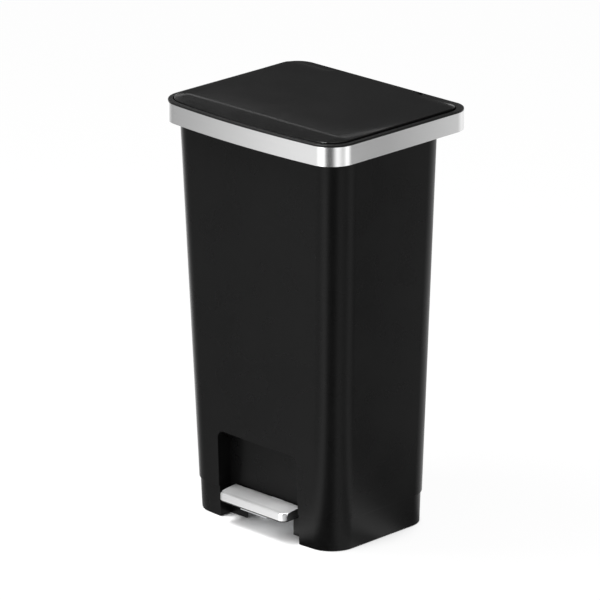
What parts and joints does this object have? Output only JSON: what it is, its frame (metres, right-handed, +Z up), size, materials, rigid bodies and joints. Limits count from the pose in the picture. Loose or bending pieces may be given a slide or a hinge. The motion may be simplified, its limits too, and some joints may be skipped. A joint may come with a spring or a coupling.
{
  "type": "pedal trash can",
  "caption": "Tall tapering black plastic kitchen bin with a brushed steel band round its rim, a hinged lid and a steel foot pedal in a toe recess that lifts it.",
  "frame": {"origin": "on the floor, under the middle of the rim's outline", "axes": "+Z up, -Y to the front where the pedal is, +X to the right as seen from the front"},
  "size_m": [0.368, 0.306, 0.654],
  "materials": {
    "body_plastic": "satin black moulded polypropylene",
    "rim_plastic": "fine textured black plastic",
    "lid_plastic": "fine textured black plastic",
    "band_steel": "stainless strip brushed along its length",
    "pedal_steel": "satin stainless",
    "zinc_steel": "zinc-plated steel",
    "nylon": "natural nylon",
    "inner_plastic": "dark grey polypropylene",
    "rubber": "soft black rubber"
  },
  "bodies": {
    "can": {"body_shell": "body_plastic", "base_skirt": "body_plastic", "rod_channel_cover": "body_plastic", "rim_frame": "rim_plastic", "steel_band": "band_steel", "bag_ring": "inner_plastic", "lid_bumpers": "rubber", "hinge_pins": "zinc_steel", "rod_guide_upper": "nylon", "rod_guide_lower": "nylon", "damper_barrel": "inner_plastic", "pivot_bracket": "zinc_steel", "pedal_axle": "zinc_steel", "axle_clips": "zinc_steel", "cover_screws": "zinc_steel", "base_screws": "zinc_steel", "rim_screws": "zinc_steel", "bracket_screws": "zinc_steel", "foot_front_left": "rubber", "foot_front_right": "rubber", "foot_back_left": "rubber", "foot_back_right": "rubber"},
    "lid": {"lid_panel": "lid_plastic", "lid_liner": "inner_plastic", "lid_screws": "zinc_steel", "lid_crank": "nylon", "crank_screws": "zinc_steel"},
    "rod": {"push_rod": "zinc_steel", "rod_head": "nylon", "rod_foot": "nylon", "damper_plunger": "nylon"},
    "pedal": {"pedal_lever": "inner_plastic", "pedal_core": "inner_plastic", "pedal_tread": "pedal_steel", "pedal_screws": "zinc_steel", "lever_bushes": "nylon"}
  },
  "joints": [
    {"name": "lid_hinge", "type": "hinge", "parent": "can", "child": "lid", "pos_m": [0, 0.1433, 0.646], "axis": [-1, 0, 0], "range_deg": [0, 75]},
    {"name": "rod_slide", "type": "slide", "parent": "can", "child": "rod", "axis": [0, 0.0089, 1], "range_m": [0, 0.03166]},
    {"name": "pedal_hinge", "type": "hinge", "parent": "can", "child": "pedal", "pos_m": [0, -0.0225, 0.031], "axis": [1, 0, 0], "range_deg": [0, 15.93]}
  ],
  "couplings": [
    {"joint": "rod_slide", "follows": "lid_hinge", "m_per_rad": 0.024182},
    {"joint": "pedal_hinge", "follows": "lid_hinge", "ratio": 0.2123}
  ]
}
